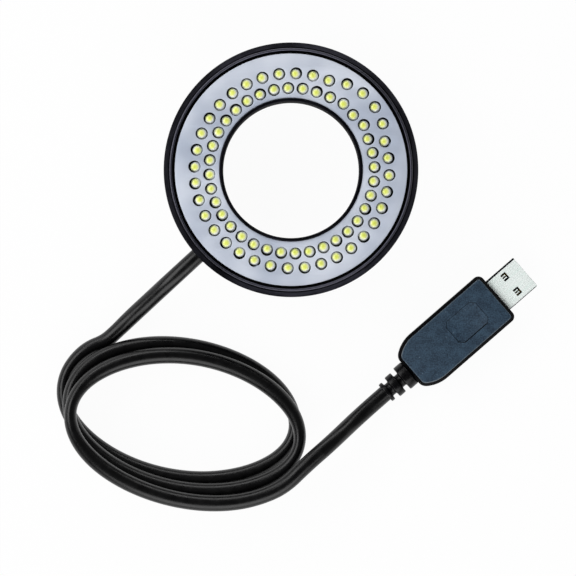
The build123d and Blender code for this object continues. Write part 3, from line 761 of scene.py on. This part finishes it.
# Nylon, glass-filled and moulded: matt black, with a cloudy skin where the glass lies near it.
nylon = grained("nylon, glass-filled and moulded, black", 0.8 * mm, 0.03 * mm, ("#0E0E10", "#19191C"),
                (0.6, 0.75), 5.0, IOR=1.53, Specular_IOR_Level=0.3)
collar = from_bmesh("mount_collar_moulded", lathe(rounded(collar_outline, collar_round), 144), nylon)
lugs = bmesh.new()
drills = bmesh.new()
pockets = bmesh.new()
for angle in lug_angles:
    spot = upright(lug_radius, angle)
    bar([(2.3 * mm, lug_foot), (lug_half, lug_foot + 0.3 * mm), (lug_half, collar_height)], 40, lugs, spot)
    bar([(screw_hole, -drill_past), (screw_hole, collar_height + drill_past)], 24, drills, spot)
for angle in thumb_angles:
    spot = along(angle, (0, 0, thumb_height))
    bar([(stud_hole, bore_radius - drill_past), (stud_hole, insert_start + 0.1 * mm)], 32, drills, spot)
    bar([(pocket_corner, insert_start), (pocket_corner, collar_radius + drill_past)], 6, pockets, spot)
reshape(collar, lugs, "UNION")
reshape(collar, drills)
reshape(collar, pockets)
# The collar's bore walls take the painted shade black.
blacken(collar, bore_radius)
dress(collar, "head", "anodised_body", "mount_collar")


# Thread inserts and collar screws: brass nuts pressed into the collar's pockets, and steel screws from
# inside the channel down into its lugs.
# Brass, machined: yellow, with fine tool marks.
finish_node("thread_inserts", grained("brass, machined", 0.25 * mm, 0.006 * mm, ("#B8923E", "#D8B45E"),
                                      (0.25, 0.4), Metallic=1.0))
# Steel, zinc-plated and blackened: dark with a dull shine.
screw_steel = grained("steel, blackened", 0.3 * mm, 0.006 * mm, ("#3A3B40", "#57585E"), (0.3, 0.45),
                      Metallic=1.0)
finish_node("collar_screws", screw_steel)


# Fixing screws: three steel screws that go in from behind, through the housing and the board, and
# bite in the face plate's posts. Their heads have a cross recess and sit below the rear face.
head_seat, screw_end = 9.1 * mm, 21.9 * mm
head_half, shank_half = 1.9 * mm, 1.0 * mm
cross_long, cross_thin, cross_depth = 1.1 * mm, 0.25 * mm, 9.8 * mm
screws = bmesh.new()
crosses = (bmesh.new(), bmesh.new())
for angle in fixing_angles:
    spot = upright(fixing_radius, angle)
    bar([(1.45 * mm, head_seat), (1.75 * mm, head_seat + 0.1 * mm), (head_half, head_seat + 0.4 * mm),
         (head_half, head_top), (shank_half, head_top), (shank_half, screw_end - 0.8 * mm),
         (0.5 * mm, screw_end)], 32, screws, spot)
    for cross, (x, y) in zip(crosses, ((cross_long, cross_thin), (cross_thin, cross_long))):
        block((-x, -y, drill_start), (x, y, cross_depth), spot, cross)
fixings = from_bmesh("fixing_screws_cross", screws, screw_steel)
for cross in crosses:
    reshape(fixings, cross)
dress(fixings, "head", "screw_steel", "fixing_screws")


# Thumb screws: M3 studs of bright steel, each moulded into a grooved nylon knob. Turning the knob runs
# the stud in or out of the collar, so each rides on its own sliding body.
stud_start, stud_end = 22.4 * mm, 36.5 * mm
stud_half, thread_depth, thread_pitch = 1.5 * mm, 0.3 * mm, 0.5 * mm
thread_steps, stud_sides = 6, 20
stud_chamfer = 0.4 * mm
knob_start, knob_end, knob_half = 31.5 * mm, 38.5 * mm, 3.8 * mm
hub_half, hub_length = 2.7 * mm, 1.2 * mm
knob_grooves, groove_depth = 12, 0.4 * mm
groove_shape = (0.0, 0.0, 0.0, 0.15, 0.75, 1.0, 0.75, 0.15)
knob_sides = knob_grooves * len(groove_shape)
# Steel, rolled and zinc-plated: pale grey and bright on the thread's crests.
zinc = grained("steel, thread-rolled and zinc-plated", 0.3 * mm, 0.005 * mm, ("#B4B6BA", "#D2D4D8"),
               (0.22, 0.38), Metallic=1.0)
# Nylon, moulded: black and matt, with worn shine on the grips.
grip_nylon = grained("nylon, moulded, black", 0.5 * mm, 0.02 * mm, ("#141416", "#202023"), (0.4, 0.55), 4.0,
                     IOR=1.53)


def thread_ring(height):
    """The thread's section at this height: its crest moves round as it goes."""
    radii = []
    for side in range(stud_sides):
        phase = (height / thread_pitch - side / stud_sides) % 1
        cut = max(thread_depth * (1 - abs(2 * phase - 1)), stud_start + stud_chamfer - height)
        radii.append(stud_half - cut)
    return ring_of(radii, height)


def knob_ring(shrink, height):
    """The knob's grooved section, drawn in by a depth."""
    radii = [knob_half - shrink - groove_depth * depth for depth in groove_shape * knob_grooves]
    return ring_of(radii, height)


stud_steps = int((stud_end - stud_start) / thread_pitch * thread_steps)
skirt = knob_start + hub_length
for number, angle in enumerate(thumb_angles, 1):
    place = along(angle, (0, 0, thumb_height))
    stud_rings = [thread_ring(stud_start + (stud_end - stud_start) * step / stud_steps)
                  for step in range(stud_steps + 1)]
    stud = from_bmesh(f"thumb_stud_{number}_threaded", stack(stud_rings, None, place), zinc, 60)
    dress(stud, f"thumb_screw_{number}", "stud_steel", f"thumb_stud_{number}")
    knob_rings = [circle(radius, height, knob_sides) for radius, height in
                  ((1.55 * mm, knob_start + 0.2 * mm), (1.55 * mm, knob_start), (2.5 * mm, knob_start),
                   (hub_half, knob_start + 0.2 * mm), (hub_half, skirt))]
    knob_rings += [knob_ring(0.45 * mm, skirt), knob_ring(0.12 * mm, skirt + 0.1 * mm),
                   knob_ring(0, skirt + 0.4 * mm), knob_ring(0, knob_end - 0.7 * mm),
                   knob_ring(0.1 * mm, knob_end - 0.3 * mm), knob_ring(0.4 * mm, knob_end - 0.05 * mm)]
    knob_rings += [circle(radius, height, knob_sides) for radius, height in
                   ((2.7 * mm, knob_end), (2.3 * mm, knob_end), (2.1 * mm, knob_end - 0.25 * mm),
                    (1.0 * mm, knob_end - 0.3 * mm), (0.2 * mm, knob_end - 0.3 * mm))]
    knob = from_bmesh(f"thumb_knob_{number}_grooved", stack(knob_rings, None, place), grip_nylon, 40)
    dress(knob, f"thumb_screw_{number}", "knob_plastic", f"thumb_knob_{number}")


# Cord entry: inside the head the cord's end runs through a rubber grommet in the wall, a nylon tie
# pulled tight behind it takes the strain, and two wires go up to the board.
cable_inside = 6.4 * mm
sleeve_half, flange_half, grommet_hole = 3.4 * mm, 3.85 * mm, 2.75 * mm
flange_start, flange_seat, sleeve_end = 36.6 * mm, 37.3 * mm, 40.86 * mm
grommet_round = 0.15 * mm
end_piece = from_bmesh("cable_end_round", bar([(cord_radius, ring_radius - cable_inside),
                                               (cord_radius, ring_radius)], 40, None, entry), pvc)
dress(end_piece, "head", "cord_jacket", "cable_end")
grommet_outline = [(grommet_hole, flange_start), (flange_half, flange_start), (flange_half, flange_seat),
                   (sleeve_half, flange_seat), (sleeve_half, sleeve_end), (grommet_hole, sleeve_end)]
# Rubber, moulded: dead black and matt.
rubber = grained("rubber, moulded, black", 0.4 * mm, 0.02 * mm, ("#0E0E0F", "#161618"), (0.55, 0.7),
                 IOR=1.52)
grommet = from_bmesh("cable_grommet_moulded",
                     lathe(rounded(grommet_outline, grommet_round), 64, None, entry), rubber)
dress(grommet, "head", "grommet_rubber", "cable_grommet")
# Nylon, moulded, natural: milky white.
finish_node("cable_tie", grained("nylon, moulded, natural", 0.5 * mm, 0.01 * mm, ("#D8D6CC", "#E8E6DE"),
                                 (0.35, 0.45), IOR=1.53))
# PVC, extruded, in the two wires' colours: plain and glossy.
for hue, colours in (("red", ("#A81A18", "#BE2420")), ("black", ("#121213", "#1C1C1E"))):
    finish_node(f"wire_{hue}", grained(f"PVC, extruded, {hue}, thin", 0.8 * mm, 0.01 * mm, colours,
                                       (0.3, 0.42), IOR=1.53))


# Lamp board and resistors: glass-fibre laminate under a black solder mask, seen only down the gaps
# round the lamps. The resistors are soldered to its underside.
# Laminate, masked: black, with the weave of its cloth 0.6 mm apart just showing.
finish_node("led_board", grained("glass-fibre laminate, solder-masked, black", 0.6 * mm, 0.01 * mm,
                                 ("#0C0D0F", "#141518"), (0.35, 0.5), IOR=1.5))
# Ceramic, fired, under a black glaze: dark and glassy.
finish_node("resistors", grained("ceramic, glazed, black", 0.3 * mm, 0.01 * mm, ("#141417", "#202024"),
                                 (0.2, 0.35), IOR=1.6))


# Front bezel: a ring turned from aluminium, polished and anodised grey, and let into the housing. Its
# rounded lip is the grey line round the face, and a ledge below it carries the face plate.
lip_outer, lip_inner, ledge_inner = 39.15 * mm, 38.3 * mm, 36.4 * mm
lip_top = 25.0 * mm
lip_middle, lip_half = (lip_outer + lip_inner) / 2, (lip_outer - lip_inner) / 2
bezel_outline = [(ledge_inner, bezel_seat), (lip_outer, bezel_seat)]
for step in range(corner_steps + 1):
    turn = math.pi * step / corner_steps
    bezel_outline.append((lip_middle + lip_half * math.cos(turn),
                          lip_top - lip_half + lip_half * math.sin(turn)))
bezel_outline += [(lip_inner, plate_seat), (ledge_inner, plate_seat)]
# Aluminium, polished and anodised grey: a soft bright line round the top of the lip. The groove inside
# it is painted black, as painted shade.
polished = grained("aluminium, polished and anodised, grey", 0.5 * mm, 0.004 * mm, ("#484852", "#54545E"),
                   (0.34, 0.44), Metallic=1.0)
bezel = from_bmesh("bezel_turned", lathe(bezel_outline), polished, 50)
blacken(bezel, lip_inner, walls_only=False)
dress(bezel, "head", "bezel_metal", "front_bezel")


# Face plate: ABS, moulded and sprayed a pale satin silver-blue. Its 72 holes are drilled by hand, so
# both rows stand a little off the middle and the outer one runs wide at the upper right. Three posts
# behind it take the screws. All its edges are broken, so they show as thin light lines.
plate_inner, plate_outer, plate_top = 23.1 * mm, 37.4 * mm, 24.4 * mm
plate_edge = 0.16 * mm
post_half, post_foot = 2.0 * mm, 18.9 * mm
hole_half = 1.95 * mm
lamps_per_row = 36
rows_middle = Vector((0.3, -0.35, 0)) * mm
inner_runs_wide, outer_runs_wide = {3: 0.8, 5: 0.6}, {2: 1.6, 3: 2.3, 4: 2.5, 5: 1.7}
rows = {"inner": (26.65 * mm, 2.5, inner_runs_wide), "outer": (31.4 * mm, 7.5, outer_runs_wide)}


def hole_places(row):
    """Where the holes of this row are."""
    radius, angle, wide = rows[row]
    return [rows_middle + around(radius + wide.get(index, 0) * mm, angle + index * 360 / lamps_per_row)
            for index in range(lamps_per_row)]


plate_curve = bpy.data.curves.new("face plate outline", "CURVE")
plate_curve.dimensions = "2D"
plate_curve.fill_mode = "BOTH"
plate_curve.extrude = (plate_top - plate_seat) / 2 - plate_edge
plate_curve.bevel_depth = plate_edge
plate_curve.bevel_resolution = 2
plate_curve.offset = -plate_edge
loops = [circle(plate_outer, 0, 192), circle(plate_inner, 0, 144)]
for row in rows:
    for middle in hole_places(row):
        loops.append([middle + Vector(spot) for spot in circle(hole_half, 0, 32)])
for loop in loops:
    edge = plate_curve.splines.new("POLY")
    edge.points.add(len(loop) - 1)
    for point, spot in zip(edge.points, loop):
        point.co = (*spot, 1.0)
    edge.use_cyclic_u = True
pattern = add_object("face plate pattern", plate_curve)
plate_mesh = mesh_of(pattern)
bpy.data.objects.remove(pattern)
plate_mesh.transform(Matrix.Translation((0, 0, (plate_top + plate_seat) / 2)))
plate = bmesh.new()
plate.from_mesh(plate_mesh)
bmesh.ops.remove_doubles(plate, verts=plate.verts, dist=0.001 * mm)
post_outline = [(screw_hole, post_foot), (post_half, post_foot), (post_half, plate_seat),
                (screw_hole, plate_seat)]
for angle in fixing_angles:
    lathe(post_outline, 32, plate, upright(fixing_radius, angle))
# ABS, sprayed satin: pale silver-blue, with a fine orange peel and faint smudges 24 mm across.
silver, tree, shader = new_material("ABS, sprayed satin, silver-blue", IOR=1.5)
peel_size, smudge_size = 0.35 * mm, 24.0 * mm
weather(tree, shader, grain(tree, smudge_size, 2.0), 0.004 * mm, ("#B4BDCE", "#D9DFEB"), (0.3, 0.42))
peel = add_node(tree, "ShaderNodeBump", {"Height": grain(tree, peel_size), "Strength": 1.0,
                                         "Distance": 0.004 * mm})
tree.links.new(peel.outputs[0], shader.inputs["Normal"])
face = from_bmesh("face_plate_sprayed", plate, silver, 35)
dress(face, "head", "face_plastic", "face_plate")


# Lamps: 72 white lamps of 3.2 mm, each an epoxy body cast over a yellow phosphor. They are soldered by
# hand and lean towards the bore a little, so the dark gap round each is widest on its outer side.
lamp_half, lamp_foot, lamp_top = 1.66 * mm, 18.9 * mm, 24.2 * mm
dome_height = 1.15 * mm
skirt_half, skirt_height, lamp_gap = 1.7 * mm, 1.0 * mm, 0.02 * mm
dome_rings, dome_turn, lamp_sides = 7, 86, 24
least_size, inward_share, loose_share, most_lean = 0.92, 0.5, 0.42, 0.2
random.seed(7)
# Epoxy, cast: lemon yellow, deeper where the phosphor lies under it, with a glassy skin. Its rim is
# painted whitish, on average towards the lower right, as a painted highlight.
epoxy_and_highlight, tree, shader = new_material("epoxy over yellow phosphor, painted highlight", IOR=1.5, Roughness=0.15)
# The yellow core sits up and left of each lamp's middle, so the painted highlight falls to the lower right.
core_side, core_up = -0.12, 0.08
cloud_size, cloud_share, ramp_reach = 0.7 * mm, 0.3, 1.4
disc = add_node(tree, "ShaderNodeUVMap", uv_map="dome")
reach = vector_node(tree, "LENGTH", vector_node(tree, "SUBTRACT", disc.outputs[0], (core_side, core_up, 0)))
cloud = grain(tree, cloud_size, 2.0)
uneven = math_node(tree, "MULTIPLY_ADD", cloud, cloud_share, reach)
ramp = add_node(tree, "ShaderNodeValToRGB", {0: math_node(tree, "MULTIPLY", uneven, 1 / ramp_reach)})
first, last = ramp.color_ramp.elements
first.position, first.color = 0.28 / ramp_reach, srgb("#E3EB64")
last.position, last.color = 1.34 / ramp_reach, srgb("#DCDED4")
for stop, colour in ((0.56, "#F1F88A"), (0.82, "#FAFEB4"), (1.0, "#FEFFF2")):
    ramp.color_ramp.elements.new(stop / ramp_reach).color = srgb(colour)
tree.links.new(ramp.outputs[0], shader.inputs["Base Color"])
skin = add_node(tree, "ShaderNodeBump", {"Height": cloud, "Strength": 1.0, "Distance": 0.02 * mm})
tree.links.new(skin.outputs[0], shader.inputs["Normal"])
for row in rows:
    lamps = bmesh.new()
    dome_map = lamps.loops.layers.uv.new("dome")
    for hole in hole_places(row):
        half = lamp_half * random.uniform(least_size, 1.0)
        slack = hole_half - half - lamp_gap
        middle = hole - hole.normalized() * inward_share * slack
        middle += around(loose_share * slack, random.uniform(0, 360))
        lean = around(most_lean * random.random(), random.uniform(0, 360)).xy
        profile = [(skirt_half, lamp_foot), (skirt_half, lamp_foot + skirt_height),
                   (half, lamp_foot + skirt_height)]
        for ring in range(dome_rings):
            rise = math.radians(dome_turn) * ring / (dome_rings - 1)
            profile.append((half * math.cos(rise), lamp_top - dome_height + dome_height * math.sin(rise)))
        before = len(lamps.faces)
        bar(profile, lamp_sides, lamps, Matrix.Translation(middle))
        lamps.faces.ensure_lookup_table()
        for polygon in lamps.faces[before:]:
            for loop in polygon.loops:
                loop[dome_map].uv = ((loop.vert.co - middle) / half).xy + lean
    dress(from_bmesh(f"{row}_lamps", lamps, epoxy_and_highlight, 50), "head", "lamp_resin", f"{row}_leds")
